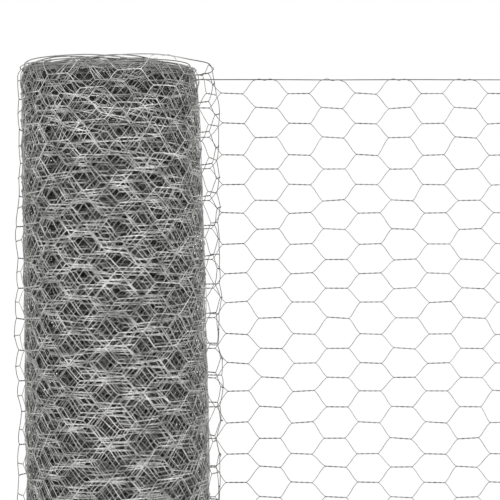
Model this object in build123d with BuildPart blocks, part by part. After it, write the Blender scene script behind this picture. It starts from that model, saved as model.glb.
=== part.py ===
"""A roll of hexagonal wire netting, standing on end, with its free end drawn out flat.

The netting is one long piece.  It runs from the cut edge of the flat end, which lies along +X behind the
roll, on to the roll's back.  It lies on the roll at the left, stands off it as a slack turn at the front
and the right, and then meets the tightly wound turns, which are one turned body with a bore.  Z is the
roll's axis, and the netting stands on its lower selvage at Z = 0.
"""

import math
import os

from build123d import *

# The netting: hexagonal cells, each with a horizontal twist above and below and four slanting wires.
wire = 1.1
selvage_wire = 1.5
twist_thickness = 2.2
mesh_height = 50.8
twist_length = 37.4
slant_run = 19.8
rows = 18

# The tightly wound turns.
roll_radius = 143.0
bore_radius = 50.0
rim_chamfer = 6.0
ridges = 3
ridge_depth = 4.0
end_margin = 8.0

# The slack turn: it leaves the roll at a column past the back, stands off it by the slack where it is
# loosest, at the peak's share of its length, and lies on it again where it ends.
seat_gap = 0.3
slack = 29.0
slack_peak = 2 / 3
slack_opening = 2
slack_closing = 1
slack_first_column = 8
slack_parts = {"slack_turn_front": 3, "slack_turn_right": 4}

# The flat end: the first column's place beside the roll's axis, and how far the netting is drawn out.
first_column = 25.0
flat_parts = {"flat_end_inner": 5, "flat_end_outer": 6}
cut_allowance = 28.0

column_pitch = twist_length + slant_run
height = rows * mesh_height
seat_radius = roll_radius + seat_gap + twist_thickness / 2
slack_length = sum(slack_parts.values()) * column_pitch
slack_start = slack_first_column * column_pitch - first_column
window_depth = 9.0
plan_step = 1.0

# The opening inside one cell, with half a wire taken off each side: half its height at the twists, and
# how far its corners and its side points lie from the column's middle.
slope = math.atan2(mesh_height / 2, slant_run)
inset = wire / 2 / math.sin(slope)
window_top = (mesh_height - twist_thickness) / 2
window_corner = twist_length / 2 + slant_run * (1 - 2 * window_top / mesh_height) - inset
window_point = twist_length / 2 + slant_run - inset


def window_outline():
    """Corners of the opening inside one cell."""
    right = [(window_corner, -window_top), (window_point, 0), (window_corner, window_top)]
    left = [(-x, z) for x, z in right[::-1]]
    return right + left


def cell_heights(column):
    """Heights of the cells' centres in a column: every other column is half a cell lower."""
    if column % 2 == 0:
        return [(row + 0.5) * mesh_height for row in range(rows)]
    return [row * mesh_height for row in range(rows + 1)]


def netting_radius(distance):
    """The netting's radius, this far past the roll's back.

    It is the seat's, plus the slack, which grows and falls with the share s of the slack turn as
    (s / peak) ** opening * ((1 - s) / (1 - peak)) ** closing, and is 1 at the peak.
    """
    share = min(1.0, max(0.0, (distance - slack_start) / slack_length))
    opened = (share / slack_peak) ** slack_opening
    closed = ((1 - share) / (1 - slack_peak)) ** slack_closing
    return seat_radius + slack * opened * closed


def plan_point(distance):
    """Place and heading of the netting in plan, this far past the roll's back.

    Before the back it is straight.  After it, the angle is summed up in short steps, each as long as
    the netting that lies along it.
    """
    if distance <= 0:
        return (-distance, seat_radius), 180.0
    steps = math.ceil(distance / plan_step)
    step = distance / steps
    angle = math.pi / 2
    for i in range(steps):
        rise = netting_radius((i + 1) * step) - netting_radius(i * step)
        angle += math.sqrt(step**2 - rise**2) / netting_radius((i + 0.5) * step)
    radius = netting_radius(distance)
    heading = math.degrees(angle) + 90 - math.degrees(math.asin(rise / step))
    return (radius * math.cos(angle), radius * math.sin(angle)), heading


def column_distance(column):
    """How far past the roll's back a column's centre lies.  Column 0 is the last one of the flat end."""
    return column * column_pitch - first_column


def column_plane(column):
    """The plane of a column's twists: X along the netting, Y up, and Z out of the roll."""
    (x, y), heading = plan_point(column_distance(column))
    along = math.radians(heading)
    return Plane(
        origin=(x, y, 0),
        x_dir=(math.cos(along), math.sin(along), 0),
        z_dir=(math.sin(along), -math.cos(along), 0),
    )


def wall_outline(start, stop):
    """Outline in plan of the netting between two columns, one twist thick.

    It runs straight along each column's twists, and folds at both of their ends.
    """
    outer = []
    inner = []
    for column in range(start, stop + 1):
        before = 0 if column == start else -window_corner
        after = 0 if column == stop else window_corner
        for x in (before, after):
            for side, points in ((1, outer), (-1, inner)):
                place = column_plane(column).from_local_coords((x, 0, side * twist_thickness / 2))
                points.append((place.X, place.Y))
    return outer + inner[::-1]


def slack_netting(start, stop):
    """The netting of the slack turn between two columns, with a window for each cell."""
    with BuildPart() as netting:
        with BuildSketch():
            Polygon(*wall_outline(start, stop), align=None)
        extrude(amount=height)
        for first in (start, start + 1):
            planes = [column_plane(column) for column in range(first, stop + 1, 2)]
            with BuildSketch(*planes):
                with Locations(*[(0, z) for z in cell_heights(first)]):
                    Polygon(*window_outline(), align=None)
            extrude(amount=window_depth, both=True, mode=Mode.SUBTRACT)
        for level in (0, height - selvage_wire):
            with BuildSketch(Plane.XY.offset(level)):
                Polygon(*wall_outline(start, stop), align=None)
            extrude(amount=selvage_wire)
    return netting.part


def flat_netting(left, right, columns):
    """The flat netting between two places along X, standing in the plane of the roll's back."""
    plane = Plane(origin=(0, seat_radius + twist_thickness / 2, 0), x_dir=(1, 0, 0), z_dir=(0, -1, 0))
    with BuildPart() as netting:
        with BuildSketch(plane):
            with Locations((left, 0)):
                Rectangle(right - left, height, align=(Align.MIN, Align.MIN))
            cells = [(-column_distance(c), z) for c in columns for z in cell_heights(c)]
            with Locations(*cells):
                Polygon(*window_outline(), align=None, mode=Mode.SUBTRACT)
            with Locations((left, 0), (left, height - selvage_wire)):
                Rectangle(right - left, selvage_wire, align=(Align.MIN, Align.MIN))
        extrude(amount=twist_thickness)
    return netting.part


def ridged_end(level, inward):
    """Points of one end of the roll from the bore outwards: its turns show as ridges with grooves between."""
    flat_edge = roll_radius - rim_chamfer - end_margin
    width = (flat_edge - bore_radius - end_margin) / ridges
    points = [(bore_radius, level)]
    for ridge in range(ridges):
        start = bore_radius + end_margin + ridge * width
        points.append((start, level))
        points.append((start + width / 2, level + inward * ridge_depth))
    points.append((flat_edge, level))
    points.append((roll_radius - rim_chamfer, level))
    points.append((roll_radius, level + inward * rim_chamfer))
    return points


def wound_turns():
    """The tightly wound turns as one turned body: bore, ridged ends and a chamfered rim."""
    with BuildPart() as turns:
        with BuildSketch(Plane.XZ):
            Polygon(*ridged_end(0, 1), *ridged_end(height, -1)[::-1], align=None)
        revolve(axis=Axis.Z)
    return turns.part


def save(part, name):
    """Labels a finished piece and writes it to its file."""
    part.label = name
    export_step(part, f"parts/{name}.step")


os.makedirs("parts", exist_ok=True)

save(wound_turns(), "wound_turns")

first = slack_first_column
for name, count in slack_parts.items():
    save(slack_netting(first, first + count), name)
    first += count

near = 0
for name, count in flat_parts.items():
    far = near + count
    left = -column_distance(-near) if near > 0 else 0
    right = -column_distance(-far) + (cut_allowance if far == sum(flat_parts.values()) else 0)
    save(flat_netting(left, right, range(-far - 1, -near + 2)), name)
    near = far
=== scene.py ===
# %% [markdown]
# # A roll of hexagonal wire netting
# Hexagonal netting is sold as a roll that stands on end.  This one has its last turn gone slack and its
# free end drawn out flat.  The solids that come with the frame already have the main shapes.  They could be
# painted with wires, but one looks through real netting, and sees each turn behind the last.  So here the
# netting is made wire by wire: thirty-six thin wires that twist together in pairs and part again, and a
# straight selvage wire along each edge.  The first step loads the frame and measures its solids.

import bpy
import numpy as np
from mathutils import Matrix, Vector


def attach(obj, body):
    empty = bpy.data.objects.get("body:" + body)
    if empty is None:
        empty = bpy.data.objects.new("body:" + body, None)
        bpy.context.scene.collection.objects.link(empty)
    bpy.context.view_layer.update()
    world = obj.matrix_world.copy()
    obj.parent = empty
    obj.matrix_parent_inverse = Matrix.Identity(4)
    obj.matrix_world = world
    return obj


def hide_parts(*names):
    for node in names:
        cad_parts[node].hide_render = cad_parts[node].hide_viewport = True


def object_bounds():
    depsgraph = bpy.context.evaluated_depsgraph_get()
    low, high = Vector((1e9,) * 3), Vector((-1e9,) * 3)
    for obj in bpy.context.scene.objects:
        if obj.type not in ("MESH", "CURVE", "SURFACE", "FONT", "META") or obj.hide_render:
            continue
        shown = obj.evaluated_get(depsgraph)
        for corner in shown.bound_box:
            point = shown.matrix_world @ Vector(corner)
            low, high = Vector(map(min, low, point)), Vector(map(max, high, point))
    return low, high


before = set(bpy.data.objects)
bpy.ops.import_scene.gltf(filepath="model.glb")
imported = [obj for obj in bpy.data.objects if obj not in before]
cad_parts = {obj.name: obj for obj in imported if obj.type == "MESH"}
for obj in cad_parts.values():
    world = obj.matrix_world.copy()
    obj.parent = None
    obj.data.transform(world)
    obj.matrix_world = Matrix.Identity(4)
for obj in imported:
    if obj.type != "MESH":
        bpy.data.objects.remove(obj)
cad_box = [list(map(float, corner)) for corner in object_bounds()]
print("CAD box in metres:", np.round(cad_box, 4).tolist())

# %% [markdown]
# ## The camera
# The photograph looks at the roll from the front, from about two thirds of its height, with a long lens.
# The camera comes first, because every later choice is judged through it.  It could be turned by eye, but
# its focal length in pixels and its pitch can be found from the straight upper selvage and from how far
# apart the rows of twists look.

# %% Camera
image_side = 500
focal_pixels = 1615
camera_place = np.array([0.222, -2.6, 0.586])
camera_target = np.array([0.222, 0.0, 0.6208])

camera_data = bpy.data.cameras.new("camera")
camera_data.sensor_width = 36
camera_data.lens = focal_pixels / image_side * camera_data.sensor_width
camera = bpy.data.objects.new("camera", camera_data)
bpy.context.collection.objects.link(camera)
camera.location = camera_place
pitch_up = np.arctan2(camera_target[2] - camera_place[2], camera_target[1] - camera_place[1])
camera.rotation_euler = (np.pi / 2 + pitch_up, 0, 0)
bpy.context.scene.camera = camera
print("lens", round(camera_data.lens, 1), "mm, pitched up", round(float(np.degrees(pitch_up)), 2), "degrees")

# %% [markdown]
# ## The sizes of the netting
# A loom weaves the netting from thirty-six wires.  Neighbours are twisted together over a short length,
# part, and are twisted with the neighbour on their other side.  So the twists stand in columns, and each
# column is half a cell lower or higher than the one before.  Every twist's height could be written down,
# but each is a whole number of half cells, which the code calls a level.  The height of the netting and
# its cut end are the solids' own.  Column 0 is the last one before the roll's back.

# %% Sizes
wires = 36
wire = 0.0011
selvage_wire = 0.0015
height = round(cad_box[1][2], 4)
cut_end = -round(cad_box[1][0], 4)
mesh_height = height / (wires / 2)
twist_length = 0.0374
twist_turns = 2
slant_run = 0.0198
column_pitch = twist_length + slant_run
half_twist = twist_length / 2 / column_pitch
first_column = 0.025
edge_inset = selvage_wire / 2 + wire
print(wires, "wires, in cells", round(mesh_height * 1000, 1), "mm high")
print("a column every", round(column_pitch * 1000, 1), "mm, half a twist is", round(half_twist, 3), "of it")

# %% [markdown]
# ## The irregular rows
# The machine that wove it was worn: some rows of twists sit a few millimetres high or low, and they do so
# in every column of the sheet.  Chance could place them all, but on the flat end each row shows.  So a
# short list was read off the photograph, from the top level down to the lowest level that it shows, and
# only the rows below that have a seeded chance.

# %% Rows of twists
row_rise_mm = [0, 0, 1, 0, 1.5, -3, -1.5, -2.5, -4, 0, -2, -2, -3, -1, -1, 1, -0.5, -2.5,
               -1.5, -1, 0, 2.5, 1, 0, -1.5, -2.5, 1]
lower_spread_mm = 1.6
chance = np.random.default_rng(7)
lower_rise = chance.normal(0, lower_spread_mm, wires + 1 - len(row_rise_mm))
lower_rise[-1] = 0
row_rise = np.concatenate([row_rise_mm, lower_rise])[::-1] / 1000
even_height = np.arange(wires + 1) * mesh_height / 2
level_height = np.clip(even_height + row_rise, edge_inset, height - edge_inset)
print(len(level_height), "levels, highest", round(float(level_height[-1]), 4), "m")

# %% [markdown]
# ## The bow of the columns
# The drawn-out sheet is also pulled a little out of square: its columns bow to the right near mid height
# and lean to the left above it, more so far from the roll.  A lattice modifier could bend the finished mesh,
# but its points would be hard to set to the millimetre.  So the bow is a function, which blends two lines:
# one near the roll and one near the end.

# %% The bow of the columns
bow_heights = [0, 0.300, 0.402, 0.504, 0.606, 0.708, 0.809, 0.914]
bow_near_roll_mm = [0, 2, 5, 2, -2, -4, -3.5, -5]
bow_near_end_mm = [-4, -6, 1, 5, 2.5, -2, -8.5, -8.5]
bow_start = 0.20
bow_run = 0.38
bow_most = 1.3


def column_bow(distance, up):
    """How far a column is pulled to the right: each line's value at the height, blended along the sheet."""
    near = np.interp(up, bow_heights, bow_near_roll_mm)
    far = np.interp(up, bow_heights, bow_near_end_mm)
    share = np.clip((-distance - bow_start) / bow_run, 0, bow_most)
    return (near * (1 - share) + far * share) / 1000


print("bow at mid height near the end:", round(float(column_bow(cut_end, height / 2)) * 1000, 1), "mm")

# %% [markdown]
# ## Gentle changes
# Wire is springy, so nothing along the netting changes at once: a dent sets in gently, and so does a lean.
# A straight ramp could be used, but it leaves a kink at both of its ends.  These two ramps leave and arrive
# level, and many later steps use them.

# %% Ramps
def ease(share):
    """Rise smoothly from 0 to 1: three times the square less twice the cube."""
    share = np.clip(share, 0, 1)
    return share * share * (3 - 2 * share)


def rise(value, start, length):
    """A ramp that is 0 up to the start and 1 from a length past it."""
    return ease((value - start) / length)


def fall(value, stop, length):
    """A ramp that is 1 until a length before the stop and 0 past it."""
    return ease((stop - value) / length)


print("halfway up a ramp:", float(rise(0.5, start=0, length=1)))

# %% [markdown]
# ## The netting seen from above
# Seen from above the netting is one long line.  Distance along it is counted from the roll's back: it is
# negative on the flat end, and grows to the full length at the bore.  The line lies on the roll, stands
# off it where the turn is slack, lies on it again, and then winds inwards.  It could be drawn as a spiral
# curve, but a spiral's angle says nothing of the length used up.  The wound turns fill a ring, so the area
# still inside the line falls with its length, and its radius is the root of that.  The angle is summed up
# from the length, so that the columns of each turn fall where they would on a real roll.

# %% The plan line
roll_radius = 0.143
bore_radius = 0.050
seat_gap = 0.0003
seat_radius = roll_radius + (seat_gap + wire)
roll_end = 45.0
slack = 0.029
slack_peak = 2 / 3
slack_first_column = 8
slack_column_count = 7
slack_start = slack_first_column * column_pitch - first_column
slack_length = slack_column_count * column_pitch
slack_end = slack_start + slack_length
settling_length = 0.12
tightening = 1.8


def plan_radius(distance):
    """Distance from the axis.

    It is the seat's plus the slack, which grows with the square of its share and falls evenly to nothing.
    Past the slack it is the root of a falling square, and the outer turns are wound the tightest.
    """
    share = np.clip((distance - slack_start) / slack_length, 0, 1)
    stand_off = slack * (share / slack_peak) ** 2 * (1 - share) / (1 - slack_peak)
    wound = np.clip((distance - slack_end) / (roll_end - slack_end), 0, 1) ** tightening
    tight = np.sqrt(roll_radius**2 - (roll_radius**2 - bore_radius**2) * wound)
    settle = rise(distance, start=slack_end, length=settling_length)
    return (seat_radius + stand_off) * (1 - settle) + tight * settle


loosest = slack_start + slack_peak * slack_length
print("radius where the turn is loosest:", round(float(plan_radius(loosest)), 4), "m")

# %% [markdown]
# The angle is the sum of many short steps, each of them the length that it takes divided by its radius.
# The wound turns lie with a little play, so that about sixteen columns go round the outermost of them.

# %% The angle turned
plan_step = 0.002
play = 0.0019
play_length = 0.3
plan_distance = np.arange(0, roll_end + 0.2, plan_step)
plan_middle = plan_distance[:-1] + plan_step / 2
played_radius = plan_radius(plan_middle) + play * rise(plan_middle, start=slack_end, length=play_length)
plan_turned = np.concatenate([[0], np.cumsum(plan_step / played_radius)])
print("turns in the roll:", round(float(plan_turned[-1] / (2 * np.pi)), 1))

# %% [markdown]
# ## Slack in the wires
# Nothing in a roll of netting is exact.  The turns have slipped up and down against each other, the roll
# is a little dented, and the outer turns lie loosely.  A different chance for every point would fray the
# wires, so each of these is a smooth random field: random values on a coarse grid, blended between its
# points.  Its patches are as long and as tall as the grid's cells.

# %% A smooth random field
field_rows = 64


def smooth_field(across, up, seed, period=64):
    """Blend seeded random values, from -1 to 1, between the four whole-number points round each place.

    Each value counts by how near its point is, across and up, eased as the ramps are.
    """
    table = np.random.default_rng(seed).uniform(-1, 1, (period, field_rows))
    column, row = np.floor(across).astype(int), np.floor(up).astype(int)
    right, top = ease(across - column), ease(up - row)
    here, there = column % period, (column + 1) % period
    low, high = row % field_rows, (row + 1) % field_rows
    near = table[here, low] * (1 - top) + table[here, high] * top
    far = table[there, low] * (1 - top) + table[there, high] * top
    return near * (1 - right) + far * right


def patches(distance, up, length, tall, seed):
    """The smooth random field of the sheet whose patches are this long and this tall, in metres."""
    return smooth_field(distance / length, up / tall, seed)


def hump(distance, middle, reach):
    """Swell to 1 and sink again: e to the power of minus (way from the middle over reach) squared."""
    return np.exp(-(((distance - middle) / reach) ** 2))


sample = patches(np.linspace(0, roll_end, 9), np.linspace(0, height, 9), length=0.07, tall=0.06, seed=12)
print("a field at nine places:", np.round(sample, 2).tolist())

# %% [markdown]
# ## How far out the sheet lies
# The roll isn't a true cylinder.  It is dented, a little thicker in its lower half, and rounded in at its
# rim.  Its last turn bulges at the left and stands off at the right, and wires that nothing holds lie the
# most loosely.  Sculpting could do this, but it would pull single wires about.  As a sum of fields it moves
# neighbouring wires together, as a woven sheet does.

# %% Radius of the sheet
dents_round = 7
dent_tall = 0.16
dent_depth = 0.0018
bulge_middle = 0.222
bulge_reach = 0.075
bulge_top = 0.002
bulge_more = 0.009
drawn_share = 0.12
drawn_more = 0.33
swell_top = -0.0015
swell_more = 0.005
rim_rounding = 0.004
rim_free_at = 0.01
wound_looseness = 0.0014
firming_length = 3
free_looseness = 0.0045
free_at = 0.008


def sheet_radius(distance, up, turned):
    """The plan's radius plus all that moves the sheet in or out.

    Added are the dents, a field that closes after each turn; the swell, which goes from a little in at the
    top to a little out in the lower half, and with the square of the radius; the loose lie, a field that
    halves inwards, and a finer one where the sheet stands free; and the bulge.  The slack is drawn in by a
    share that grows towards the foot, and the rim is rounded in where the sheet lies on the roll.
    """
    plan = plan_radius(np.maximum(distance, 0))
    standing_off = np.maximum(plan - seat_radius, 0)
    on_roll = rise(distance, start=0, length=0.1)

    around = turned / (2 * np.pi) * dents_round
    dents = dent_depth * smooth_field(around, up / dent_tall, seed=11, period=dents_round)
    dents = dents * rise(distance, start=slack_end, length=0.3)
    bulge = bulge_top + bulge_more * fall(up, stop=0.88, length=0.4)
    bulge = bulge * hump(distance, bulge_middle, bulge_reach)
    drawn_in = -standing_off * (drawn_share + drawn_more * fall(up, stop=0.85, length=0.85))
    swell = (swell_more * fall(up, stop=0.92, length=0.4) + swell_top) * on_roll
    swell = swell * np.minimum(plan / roll_radius, 1) ** 2
    rounded = -rim_rounding * rise(up, start=0.90, length=0.014) * on_roll
    rounded = rounded * (1 - np.minimum(standing_off / rim_free_at, 1))

    firming = np.exp(-np.maximum(distance - slack_end, 0) / firming_length)
    loose = wound_looseness + wound_looseness * firming
    loose = loose * patches(distance, up, length=0.07, tall=0.06, seed=12)
    free = np.minimum((standing_off + bulge) / free_at, 1)
    loose += free_looseness * patches(distance, up, length=0.04, tall=0.05, seed=21) * free
    return plan + dents + swell + loose + drawn_in + rounded + bulge


middle_radius = float(sheet_radius(loosest, height / 2, 0))
print("radius there at mid height, with all its faults:", round(middle_radius, 4), "m")

# %% [markdown]
# ## How high the sheet lies
# As a roll is handled its turns slip past each other, a few millimetres each, and several in a row slip the
# same way.  That is why a roll shows dark six-sided cells with rows of parallel wires: each turn lies a
# little beside the next.  Each turn could have its own chance, but the cells would blur to an even grey.
# So the slip is a slow field and an even zigzag over several turns, and only the upper rows are jumbled.
# The lower edge stays on the floor.

# %% Height of the sheet
narrowing = 0.0045
slow_narrowing = 0.008
quick_narrowing = 0.006
slow_slip = 0.014
zigzag_slip = 0.014
zigzag_turns = 8
edge_power = 0.3
jumbled_slip = 0.010
raised_middle = 0.545
raised_reach = 0.08
raised_top = 0.0065
highest_above = 0.012


def sheet_height(distance, up, turned):
    """The height on the sheet, made less by its narrowing, plus its slip and how far it is raised.

    The sheet narrows by fields of the distance alone.  It slips by a slow field and by a zigzag, which goes
    from 1 to -1 and back in so many turns; both are nothing at the edges.  The upper rows of the wound turns
    slip by a finer field too.  Where the turn is slack it is raised, with the cube of the height.
    """
    narrowed = narrowing - slow_narrowing * patches(distance, 0 * up, length=0.6, tall=1, seed=13)
    narrowed = narrowed - quick_narrowing * patches(distance, 0 * up, length=0.10, tall=1, seed=18)
    narrowed = narrowed * rise(distance, start=0.3, length=1.2)

    inside_edges = np.clip(np.sin(np.pi * up / height), 0, 1) ** edge_power
    inside_edges = inside_edges * rise(up, start=0, length=0.15)
    zigzag = 2 * np.abs(2 * np.mod(turned / (2 * np.pi) / zigzag_turns, 1) - 1) - 1
    slipped = slow_slip * patches(distance, up, length=1.5, tall=0.35, seed=19) + zigzag_slip * zigzag
    slipped = slipped * inside_edges * rise(distance, start=0.1, length=0.5)
    jumble = rise(up, start=0.70, length=0.12) * fall(up, stop=height + 0.02, length=0.06)
    jumble = jumble * rise(distance, start=slack_end, length=0.3)
    slipped += jumbled_slip * patches(distance, up, length=0.35, tall=0.10, seed=27) * jumble

    raised = raised_top * hump(distance, raised_middle, raised_reach) * (up / height) ** 3
    return np.minimum(up * (1 - narrowed / height) + slipped + raised, height + highest_above)


print("top of the slack turn:", round(float(sheet_height(raised_middle, height, 0)), 4), "m")

# %% [markdown]
# ## Where a point of the sheet ends up
# One function takes any point of the flat sheet, given by its distance along, its height and how far it
# stands off the sheet's face, and puts it in place.  A Simple Deform modifier could roll a sheet up, but not
# with this slack and these faults.  All wires go through the function, so they stay woven.  The roll's lean
# was read off the photograph as four short measures.

# %% Place a point of the sheet
lean_heights = [0, 0.28, 0.56, 0.914]
lean_mm = [12, 11, 4, -4]
flat_ripple = 0.0025


def place(distance, up, stand_off):
    """Bend the flat sheet round the plan line.

    The radius is the sheet's plus the stand-off.  On the roll, x and y are the radius times the cosine and
    the sine of the angle, which starts at the back.  On the flat end, x is the distance the other way, and
    y is the radius plus a ripple.  The roll leans sideways by the line that is listed by height, and the
    flat end follows it less and less.
    """
    turned = np.interp(np.maximum(distance, 0), plan_distance, plan_turned)
    angle = np.pi / 2 + turned
    radius = sheet_radius(distance, up, turned) + stand_off
    ripple = flat_ripple * patches(distance, up, length=0.13, tall=0.2, seed=14)
    lean = np.interp(up, lean_heights, lean_mm) / 1000 * rise(distance, start=-0.3, length=0.4)
    x = np.where(distance < 0, -distance, radius * np.cos(angle)) + lean
    y = np.where(distance < 0, radius + ripple, radius * np.sin(angle))
    return np.stack([x, y, sheet_height(distance, up, turned)], axis=-1)


print("foot of the roll at the front:", np.round(place(seat_radius * np.pi, 0, 0), 4).tolist())

# %% [markdown]
# ## The course of one wire
# A wire is followed from the middle of one twist to the middle of the next.  It runs as a helix to the
# end of the twist, crosses to the next level as a slant, and goes into the next twist.  A wire that leaves
# a twist upwards is the upper one of its pair, so its helix starts above.  At the sheet's edges there is no
# partner, and the wire winds round the selvage wire instead.  One cell could be made and arrayed, but then
# no wire would run through.  Followed one by one, the wires run on from cell to cell, and no two twists
# need be alike: each is tilted and shifted a little by chance.

# %% Chance in the twists
twist_tilt = 0.0013
twist_shift = 0.0018
wound_scatter = 0.6
rim_scatter = 2.5
tilt_seed = 15
shift_seed = 16
chance_columns = 64


def twist_chance(column, level, seed):
    """A seeded random value from -1 to 1 for each twist, the same for both of its wires."""
    table = np.random.default_rng(seed).uniform(-1, 1, (chance_columns, wires + 1))
    return table[column % chance_columns, level]


def twist_scatter(distance, up):
    """How strong chance is: 1 up to the slack turn's end, then more, and most near the rim of the roll."""
    near_rim = rise(up, start=0.7, length=0.15)
    return 1 + wound_scatter * (1 + rim_scatter * near_rim) * rise(distance, start=slack_end, length=0.1)


print("scatter near the rim:", float(twist_scatter(roll_end, height)))

# %% Centre lines of the mesh wires
slant_bend = 0.22


def sample_places(twist_steps, slant_steps):
    """Shares of a column pitch at which a wire is drawn: the half twist, the slant, the half twist."""
    leaving = np.linspace(0, half_twist, twist_steps + 1)[:-1]
    crossing = np.linspace(half_twist, 1 - half_twist, slant_steps + 1)[:-1]
    entering = np.linspace(1 - half_twist, 1, twist_steps + 1)[:-1]
    return np.concatenate([leaving, crossing, entering])


def wire_lines(first, last, places):
    """Centre lines of all wires from the middle of one column's twists to another's.

    Wire k is at level k in every other column and at level k + 1 in the rest.  In a twist it is off the
    level by a circle of half a wire, and in the slant its height goes from one level to the next along
    an S: the slant's share less the bend times the sine of that share of a circle, over two pi.  Chance
    tilts the twist about its middle and shifts it along.  Returns distance, height and stand-off, each
    with one row for a wire.
    """
    wire_number = np.arange(wires)[:, None, None]
    column = np.arange(first, last)[None, :, None]
    share = places[None, None, :]
    here = wire_number + (column + wire_number) % 2
    there = wire_number + (column + 1 + wire_number) % 2
    rising = np.sign(there - here)
    slant = np.clip((share - half_twist) / (1 - 2 * half_twist), 0, 1)
    eased = slant - slant_bend * np.sin(2 * np.pi * slant) / (2 * np.pi)

    past_middle = share > 0.5
    level = np.where(past_middle, there, here)
    side = np.where(past_middle, -rising, rising)
    circle = np.where((level == 0) | (level == wires), (wire + selvage_wire) / 2, wire / 2)
    from_middle = np.where(past_middle, share - 1, share) * column_pitch
    helix = side * np.pi / 2 + 2 * np.pi * twist_turns * from_middle / twist_length
    in_slant = (slant > 0) & (slant < 1)
    off_level = np.where(in_slant, rising * wire / 2 * (1 - 2 * eased), circle * np.sin(helix))
    stand_off = np.where(in_slant, 0, circle * np.cos(helix))
    up = level_height[here] * (1 - eased) + level_height[there] * eased + off_level

    leaving = np.clip(share / half_twist, 0, 1)
    entering = np.clip((1 - share) / half_twist, 0, 1)
    distance = (column + share) * column_pitch - first_column
    scatter = twist_scatter(distance, up)
    up = up + (1 - slant) * leaving * twist_chance(column, here, tilt_seed) * twist_tilt * scatter
    up = up - slant * entering * twist_chance(column + 1, there, tilt_seed) * twist_tilt * scatter
    uneven = (1 - slant) * twist_chance(column, here, shift_seed)
    uneven = uneven + slant * twist_chance(column + 1, there, shift_seed)
    distance = distance + uneven * twist_shift * scatter
    distance = distance - column_bow(distance, up)
    return [part.reshape(wires, -1) for part in np.broadcast_arrays(distance, up, stand_off)]


points_in_column = len(sample_places(twist_steps=6, slant_steps=7))
print("points on a finely drawn wire, from one column to the next:", points_in_column)

# %% [markdown]
# ## Painted shade deep in the roll, and darker stretches
# The outer turns of a roll catch the light, and deep inside it is dim.  Lamps alone leave too little of that,
# because light finds its way through open wires from all sides, so shade is painted into the colour of the
# deeper turns.  The stretches that hang free are also darker, and so is the rim.  A mask could be painted by
# hand, but it would have to follow thousands of wires.  So each point gets a brightness, painted shade
# included, that is worked out from its place on the sheet.

# %% Painted shade and darkening of the zinc
unshaded_skin = 0.002
dimming_depth = 0.008
painted_depth_shade = 0.66
end_shade_share = 0.5
free_darkening = 0.62
bulge_darkening_reach = 0.05
rim_darkening = 0.2


def painted_shade_and_darkening(distance, up):
    """How bright the zinc is at a point of the sheet: 1 less each share of painted shade and darkening,
    multiplied together.

    Under a thin unshaded skin at the roll's face, painted shade darkens the colour deeper into the roll, but
    less so at the roll's ends.  It is darker on the flat end, at the bulge and where the slack stands off the
    most, and a little darker near the rim.
    """
    radius = plan_radius(np.maximum(distance, 0))
    # Painted shade: the colour darkens with depth into the roll, below a thin unshaded skin, where shade
    # would fall.
    inside = np.clip((roll_radius - radius - unshaded_skin) / dimming_depth, 0, 1)
    inside *= end_shade_share + (1 - end_shade_share) * rise(np.minimum(up, height - up), start=0, length=0.02)
    # Darker on the flat end, where the slack stands off the most, and at the bulge.
    free = fall(distance, stop=0.05, length=0.05) + rise(radius - seat_radius, start=0.016, length=0.008)
    free += hump(distance, bulge_middle, bulge_darkening_reach)
    # A little darker near the rim of the wound turns.
    rim = rise(up, start=0.84, length=0.05) * rise(distance, start=slack_end, length=0.1)
    return (1 - painted_depth_shade * inside) * (1 - free_darkening * np.clip(free, 0, 1)) * (1 - rim_darkening * rim)


print("zinc at the bore, halfway up:", round(float(painted_shade_and_darkening(roll_end, height / 2)), 2))

# %% [markdown]
# ## A tube along each line
# Every wire is a round tube.  A curve with a round bevel would make one too, but slowly, and with no say in
# how its rings are turned.  Here the rings of points are whole arrays, turned so that the first corner faces
# away from the roll.  A few points round a wire are enough, because it is less than a pixel wide in the
# photograph.  A tube with few sides is thinner than the circle through its corners, so the circle is made a
# little larger, and the tube is as wide as the wire on average.  Its faces are then laid out flat on a map,
# a strip for each wire, so that the finish can be baked.

# %% Rings round the lines
probe = 0.001


def ring_points(lines, radius, sides):
    """Points of the rings: wire by wire, ring by ring, and round each ring.

    A point is the line's point plus the radius times (cosine of the sheet's outward direction plus sine of
    the direction square to it and to the line).  The radius is larger by half the angle between corners
    over its sine, which makes a polygon as long round as the circle.
    """
    distance, up, stand_off = lines
    centre = place(distance, up, stand_off)
    outward = place(distance, up, stand_off + probe) - centre
    along = np.gradient(centre, axis=1)
    along /= np.linalg.norm(along, axis=2, keepdims=True)
    outward -= (outward * along).sum(axis=2, keepdims=True) * along
    outward /= np.linalg.norm(outward, axis=2, keepdims=True)
    square = np.cross(along, outward)
    corner = np.arange(sides) * 2 * np.pi / sides
    drawn_radius = radius * np.pi / (sides * np.sin(np.pi / sides))
    ring = outward[:, :, None, :] * np.cos(corner)[:, None] + square[:, :, None, :] * np.sin(corner)[:, None]
    return centre[:, :, None, :] + drawn_radius * ring


# %% Faces between the rings
def tube_faces(count, length, sides):
    """Corners of all faces, and how many each has: quads between the rings, and a cap at each end."""
    index = np.arange(count * length * sides).reshape(count, length, sides)
    after = np.roll(index, -1, axis=2)
    quads = np.stack([index[:, :-1], after[:, :-1], after[:, 1:], index[:, 1:]], axis=-1).reshape(-1, 4)
    caps = np.concatenate([index[:, 0, ::-1], index[:, -1, :]])
    corners = np.concatenate([quads.ravel(), caps.ravel()]).astype(np.int32)
    sizes = np.concatenate([np.full(len(quads), 4), np.full(len(caps), sides)])
    return corners, sizes


# %% A flat map of the wires
strip_margin = 0.06


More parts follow.
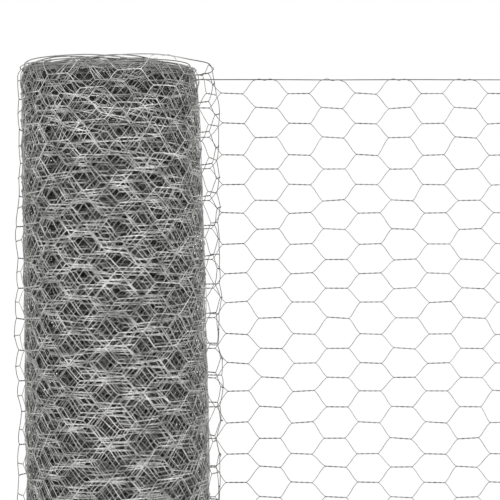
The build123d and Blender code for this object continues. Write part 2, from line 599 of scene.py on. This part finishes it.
def wire_map(count, length, sides):
    """A place on the flat map for each corner of tube_faces, with one strip for each wire.

    The length runs across the strip, and the way round runs up it, with a margin below and above.
    """
    strip, step, turn = np.meshgrid(np.arange(count), np.arange(length - 1), np.arange(sides), indexing="ij")
    across = np.stack([step, step, step + 1, step + 1], axis=-1) / (length - 1)
    turn = (turn[..., None] + np.array([0, 1, 1, 0])) / sides
    upward = (strip[..., None] + strip_margin + (1 - 2 * strip_margin) * turn) / count
    cap_across = np.repeat([0.0, 1.0], count * sides)
    cap_strip = np.repeat(np.concatenate([np.arange(count)] * 2), sides)
    across = np.concatenate([across.ravel(), cap_across])
    upward = np.concatenate([upward.ravel(), (cap_strip + 0.5) / count])
    return np.stack([across, upward], axis=-1)


# %% One mesh for many tubes
def tubes(name, lines, radius, sides):
    """Make one piece of closed tubes, with its map and its brightness: points, then faces, then both."""
    distance, up = lines[:2]
    count, length = distance.shape
    points = ring_points(lines, radius, sides)
    corners, sizes = tube_faces(count, length, sides)
    starts = np.concatenate([[0], np.cumsum(sizes)[:-1]]).astype(np.int32)

    mesh = bpy.data.meshes.new(name)
    mesh.vertices.add(points.size // 3)
    mesh.vertices.foreach_set("co", points.astype(np.float32).ravel())
    mesh.loops.add(len(corners))
    mesh.loops.foreach_set("vertex_index", corners)
    mesh.polygons.add(len(sizes))
    mesh.polygons.foreach_set("loop_start", starts)
    mesh.update(calc_edges=True)
    mesh.polygons.foreach_set("use_smooth", np.ones(len(sizes), bool))

    flat_map = wire_map(count, length, sides).astype(np.float32)
    mesh.uv_layers.new(name="OFBake").data.foreach_set("uv", flat_map.ravel())
    # The shade attribute holds painted shade deep in the roll, times the darker stretches and rim.
    shade = np.repeat(painted_shade_and_darkening(distance, up).ravel(), sides).astype(np.float32)
    mesh.attributes.new("shade", "FLOAT", "POINT").data.foreach_set("value", shade)
    piece = bpy.data.objects.new(name, mesh)
    bpy.context.collection.objects.link(piece)
    print(name, int((sizes - 2).sum()), "triangles")
    return piece


# %% [markdown]
# ## The stretches of the netting
# The flat end and the slack turn are seen one wire at a time, so their twists are real helices.  The next
# turns are seen through them and need less.  Deep in the roll only the bundles of wire and the dark
# between them are left, so each wire there has three sides and three steps from twist to twist.  All of it
# could be one mesh, but one of a million faces is slow to work with, so even the inner turns are three.

# %% Columns of each stretch
flat_columns = (-12, 0)
slack_columns = (0, 15)
outer_columns = (15, 46)
next_columns = (46, 93)
last_column = int((roll_end + first_column) / column_pitch)
inner_count = 3
inner_cuts = np.linspace(next_columns[1], last_column, inner_count + 1).astype(int)
fine = sample_places(twist_steps=6, slant_steps=7)
middling = sample_places(twist_steps=5, slant_steps=2)
coarse = sample_places(twist_steps=1, slant_steps=1)


def stretch(name, columns, places, sides, cut_share=0):
    """Tubes of all mesh wires over some columns; a cut share leaves out that much of the first column."""
    lines = wire_lines(columns[0], columns[1] + 1, places)
    start = int((places < cut_share).sum())
    stop = lines[0].shape[1] - len(places) + 1
    return tubes(name, [part[:, start:stop] for part in lines], wire / 2, sides)


flat_end = stretch("flat_end_wires", flat_columns, fine, sides=6, cut_share=0.5)
slack_turn = stretch("slack_turn_wires", slack_columns, fine, sides=6)
outer_turns = stretch("outer_turns_wires", outer_columns, middling, sides=4)
next_turns = stretch("next_turns_wires", next_columns, middling, sides=3)
inner_turns = []
for number in range(inner_count):
    inner_columns = (inner_cuts[number], inner_cuts[number + 1])
    inner_turns.append(stretch(f"inner_turns_wires_{number + 1}", inner_columns, coarse, sides=3))

# %% [markdown]
# ## The selvage wires
# One straight wire runs along each edge of the netting for its whole length, and the mesh wires wind round
# it at every other column.  It could be a curve of its own, but it has to follow the sheet's every fault,
# so it goes through the same functions, as a line of one height.

# %% Selvages
steps_in_column = 6


def selvage(name, up):
    """A tube at one height over the whole length, in steps of a sixth of a column."""
    distance = np.arange(cut_end, roll_end, column_pitch / steps_in_column)[None, :]
    line = (distance, np.full_like(distance, up), np.zeros_like(distance))
    return tubes(name, line, selvage_wire / 2, sides=4)


lower_selvage = selvage("lower_selvage_wire", edge_inset)
upper_selvage = selvage("upper_selvage_wire", height - edge_inset)

# %% [markdown]
# ## Zinc on steel wire
# The wire is coated with zinc.  New zinc is bright, and it dulls in patches to a soft grey with a trace of
# olive.  The coat ran a little as it set, which gives small lumps.  A picture could be wrapped round each
# wire, but it would show its seams.  Two sizes of noise in space have none, and as a node group they are
# built once and shared by the mesh wire and the selvage wire.

# %% Zinc as a node group
grains_to_patch = 9
grain_share = 0.5


def zinc_group():
    """Colour, roughness and height of a zinc coat.

    Coarse noise plus a share of fine noise says how dull a place is.  The colour goes from bright to dull
    with it and is multiplied by the shade, which brings in the painted shade deep in the roll; the roughness
    grows with it; the fine noise is the height.
    """
    group = bpy.data.node_groups.new("zinc coat", "ShaderNodeTree")
    for name, kind in (("Coordinates", "NodeSocketVector"), ("Patch scale", "NodeSocketFloat"),
                       ("Bright", "NodeSocketColor"), ("Dull", "NodeSocketColor"),
                       ("Shade", "NodeSocketFloat")):
        group.interface.new_socket(name, in_out="INPUT", socket_type=kind)
    for name, kind in (("Colour", "NodeSocketColor"), ("Roughness", "NodeSocketFloat"),
                       ("Height", "NodeSocketFloat")):
        group.interface.new_socket(name, in_out="OUTPUT", socket_type=kind)
    nodes, links = group.nodes, group.links
    entry, leave = nodes.new("NodeGroupInput"), nodes.new("NodeGroupOutput")

    coarse_noise, fine_noise = nodes.new("ShaderNodeTexNoise"), nodes.new("ShaderNodeTexNoise")
    coarse_noise.inputs["Detail"].default_value = 3
    fine_noise.inputs["Detail"].default_value = 2
    finer = nodes.new("ShaderNodeMath")
    finer.operation = "MULTIPLY"
    finer.inputs[1].default_value = grains_to_patch
    links.new(entry.outputs["Patch scale"], finer.inputs[0])
    links.new(entry.outputs["Coordinates"], coarse_noise.inputs["Vector"])
    links.new(entry.outputs["Coordinates"], fine_noise.inputs["Vector"])
    links.new(entry.outputs["Patch scale"], coarse_noise.inputs["Scale"])
    links.new(finer.outputs[0], fine_noise.inputs["Scale"])

    both = nodes.new("ShaderNodeMath")
    both.operation = "MULTIPLY_ADD"
    both.inputs[1].default_value = grain_share
    links.new(fine_noise.outputs["Fac"], both.inputs[0])
    links.new(coarse_noise.outputs["Fac"], both.inputs[2])
    dulled = nodes.new("ShaderNodeMapRange")
    dulled.inputs["From Min"].default_value = 0.55
    dulled.inputs["From Max"].default_value = 0.95
    links.new(both.outputs[0], dulled.inputs["Value"])

    colour = nodes.new("ShaderNodeMix")
    colour.data_type = "RGBA"
    links.new(dulled.outputs["Result"], colour.inputs["Factor"])
    links.new(entry.outputs["Bright"], colour.inputs["A"])
    links.new(entry.outputs["Dull"], colour.inputs["B"])
    shaded = nodes.new("ShaderNodeVectorMath")
    shaded.operation = "SCALE"
    links.new(colour.outputs["Result"], shaded.inputs[0])
    links.new(entry.outputs["Shade"], shaded.inputs["Scale"])
    rough = nodes.new("ShaderNodeMapRange")
    rough.inputs["To Min"].default_value = 0.55
    rough.inputs["To Max"].default_value = 0.8
    links.new(dulled.outputs["Result"], rough.inputs["Value"])
    links.new(shaded.outputs["Vector"], leave.inputs["Colour"])
    links.new(rough.outputs["Result"], leave.inputs["Roughness"])
    links.new(fine_noise.outputs["Fac"], leave.inputs["Height"])
    return group


zinc = zinc_group()
print("zinc coat:", len(zinc.nodes), "nodes")

# %% [markdown]
# The mesh wire is thin and bright, and the selvage wire is duller.  Full metal would show only the white
# room, but dull zinc also scatters light, as chalk does.  So both are half metallic.

# %% Materials
def zinc_material(name, patch_scale, bright, dull, metallic):
    """A Principled metal whose colour, roughness and fine bump come from the zinc group."""
    material = bpy.data.materials.new(name)
    material.use_nodes = True
    nodes, links = material.node_tree.nodes, material.node_tree.links
    shader = nodes["Principled BSDF"]
    shader.inputs["Metallic"].default_value = metallic
    coat = nodes.new("ShaderNodeGroup")
    coat.node_tree = zinc
    coat.inputs["Patch scale"].default_value = patch_scale
    coat.inputs["Bright"].default_value = (*bright, 1)
    coat.inputs["Dull"].default_value = (*dull, 1)
    where = nodes.new("ShaderNodeTexCoord")
    links.new(where.outputs["Object"], coat.inputs["Coordinates"])
    # The shade attribute carries painted shade deep in the roll into the colour.
    shade = nodes.new("ShaderNodeAttribute")
    shade.attribute_name = "shade"
    links.new(shade.outputs["Fac"], coat.inputs["Shade"])
    links.new(coat.outputs["Colour"], shader.inputs["Base Color"])
    links.new(coat.outputs["Roughness"], shader.inputs["Roughness"])
    bump = nodes.new("ShaderNodeBump")
    bump.inputs["Strength"].default_value = 0.35
    bump.inputs["Distance"].default_value = 0.0002
    links.new(coat.outputs["Height"], bump.inputs["Height"])
    links.new(bump.outputs["Normal"], shader.inputs["Normal"])
    print(name, "bright", bright, "dull", dull)
    return material


wire_zinc = zinc_material(
    "zinc_on_mesh_wire", patch_scale=45, bright=(0.76, 0.76, 0.745), dull=(0.29, 0.29, 0.277), metallic=0.5)
selvage_zinc = zinc_material(
    "zinc_on_selvage_wire", patch_scale=30, bright=(0.45, 0.45, 0.44), dull=(0.27, 0.27, 0.258), metallic=0.5)
mesh_pieces = [flat_end, slack_turn, outer_turns, next_turns, *inner_turns]
selvage_pieces = [lower_selvage, upper_selvage]
for piece in mesh_pieces:
    piece.data.materials.append(wire_zinc)
for piece in selvage_pieces:
    piece.data.materials.append(selvage_zinc)

# %% [markdown]
# ## The wires stand in for the solids
# The netting is one piece of stock with no joints, so every stretch of wire rides on the same body.  The
# solids could stay inside the wires, but one would see them through the cells.  So the flat end, the slack
# turn and the outer turns are shown in place of the solids they dress.

# %% Stand the pieces in for the solids
for piece in mesh_pieces + selvage_pieces:
    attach(piece, "root")
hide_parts("flat_end_inner", "flat_end_outer")
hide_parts("slack_turn_front", "slack_turn_right")
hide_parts("wound_turns")
print(len(mesh_pieces + selvage_pieces), "pieces are shown in place of the solids")

# %% [markdown]
# ## The floor
# The photograph is cut out on white, but a roll that stands on nothing looks pasted on.  A large square
# would show its edges from above.  So a pale round floor catches the roll's shadow and fades into the white
# before its edge.

# %% Floor
floor_middle = 0.27
floor_radius = 1.5
rim_points = 64
around = np.linspace(0, 2 * np.pi, rim_points + 1)[:-1]
floor_x = floor_radius * np.cos(around) + floor_middle
floor_y = floor_radius * np.sin(around)
floor_rim = np.stack([floor_x, floor_y, np.zeros(rim_points)], axis=-1)
floor_mesh = bpy.data.meshes.new("floor")
floor_mesh.from_pydata(floor_rim.tolist(), [], [list(range(rim_points))])
floor = bpy.data.objects.new("floor", floor_mesh)
bpy.context.collection.objects.link(floor)
print("floor", floor_radius * 2, "m wide")

# %% Material of the floor
fade_start = 0.8
fade_end = 1.45
floor_material = bpy.data.materials.new("pale_floor")
floor_material.use_nodes = True
floor_nodes, floor_links = floor_material.node_tree.nodes, floor_material.node_tree.links
floor_shader = floor_nodes["Principled BSDF"]
floor_shader.inputs["Base Color"].default_value = (0.9, 0.9, 0.9, 1)
floor_shader.inputs["Roughness"].default_value = 0.9
clear = floor_nodes.new("ShaderNodeBsdfTransparent")
fade = floor_nodes.new("ShaderNodeMixShader")
floor_place = floor_nodes.new("ShaderNodeTexCoord")
from_centre = floor_nodes.new("ShaderNodeVectorMath")
from_centre.operation = "DISTANCE"
from_centre.inputs[1].default_value = (floor_middle, 0, 0)
faded = floor_nodes.new("ShaderNodeMapRange")
faded.interpolation_type = "SMOOTHSTEP"
faded.inputs["From Min"].default_value = fade_start
faded.inputs["From Max"].default_value = fade_end
floor_links.new(floor_place.outputs["Object"], from_centre.inputs[0])
floor_links.new(from_centre.outputs["Value"], faded.inputs["Value"])
floor_links.new(faded.outputs["Result"], fade.inputs["Fac"])
floor_links.new(floor_shader.outputs["BSDF"], fade.inputs[1])
floor_links.new(clear.outputs["BSDF"], fade.inputs[2])
floor_links.new(fade.outputs["Shader"], floor_nodes["Material Output"].inputs["Surface"])
floor_mesh.materials.append(floor_material)
print("the floor fades from", fade_start, "to", fade_end, "m")

# %% [markdown]
# ## The world
# The roll stands before plain white.  A white world could light it by itself, but it would wash out the
# dark between the turns.  So the world is two backgrounds: full white for the camera and for what mirrors
# it or lets it through, and a quarter of that for all other light.  The Light Path node tells them apart.

# %% World
room_strength = 0.25
world = bpy.data.worlds.new("studio")
bpy.context.scene.world = world
world.use_nodes = True
world_nodes, world_links = world.node_tree.nodes, world.node_tree.links
room = world_nodes["Background"]
room.inputs["Color"].default_value = (1, 1, 1, 1)
room.inputs["Strength"].default_value = room_strength
backdrop = world_nodes.new("ShaderNodeBackground")
backdrop.inputs["Color"].default_value = (1, 1, 1, 1)
rays = world_nodes.new("ShaderNodeLightPath")
seen = rays.outputs["Is Camera Ray"]
for kind in ("Is Glossy Ray", "Is Transmission Ray"):
    either = world_nodes.new("ShaderNodeMath")
    either.operation = "MAXIMUM"
    world_links.new(seen, either.inputs[0])
    world_links.new(rays.outputs[kind], either.inputs[1])
    seen = either.outputs["Value"]
choose = world_nodes.new("ShaderNodeMixShader")
world_links.new(seen, choose.inputs["Fac"])
world_links.new(room.outputs["Background"], choose.inputs[1])
world_links.new(backdrop.outputs["Background"], choose.inputs[2])
world_links.new(choose.outputs["Shader"], world_nodes["World Output"].inputs["Surface"])
print("the world lights the wires at", room_strength)

# %% [markdown]
# ## The lamps
# In the photograph the roll is bright in the middle and a little darker at both sides, and no side has a
# hard shadow.  One lamp beside the camera could do that, but it would leave the wires flat.  Two soft lamps,
# in front at the left and the right, give each wire its shine, and a weak one behind lights the back.

# %% Lamps
def lamp(name, place_at, aim_at, sides, watts):
    """A rectangular lamp at one point, turned towards another: tilted from straight down, then round."""
    data = bpy.data.lights.new(name, "AREA")
    data.shape = "RECTANGLE"
    data.size, data.size_y = sides
    data.energy = watts
    light = bpy.data.objects.new(name, data)
    bpy.context.collection.objects.link(light)
    light.location = place_at
    way = np.array(aim_at) - np.array(place_at)
    tilt = np.arccos(-way[2] / np.linalg.norm(way))
    heading = np.arctan2(way[1], way[0]) - np.pi / 2
    light.rotation_euler = (tilt, 0, heading)
    print("lamp", name, watts, "W")


roll_middle = (0.1, 0, 0.45)
lamp("left", (-2.0, -2.8, 0.7), aim_at=roll_middle, sides=(0.8, 0.8), watts=71)
lamp("right", (2.3, -2.8, 0.6), aim_at=roll_middle, sides=(0.8, 0.8), watts=82)
lamp("behind", (1.2, 2.6, 2.4), aim_at=roll_middle, sides=(1.0, 1.0), watts=30)

# %% [markdown]
# ## View
# Blender's usual view softens bright colours as film does.  The Standard view shows each colour about as it
# is written, which suits a part for other scenes.

# %% View
bpy.context.scene.view_settings.view_transform = "Standard"
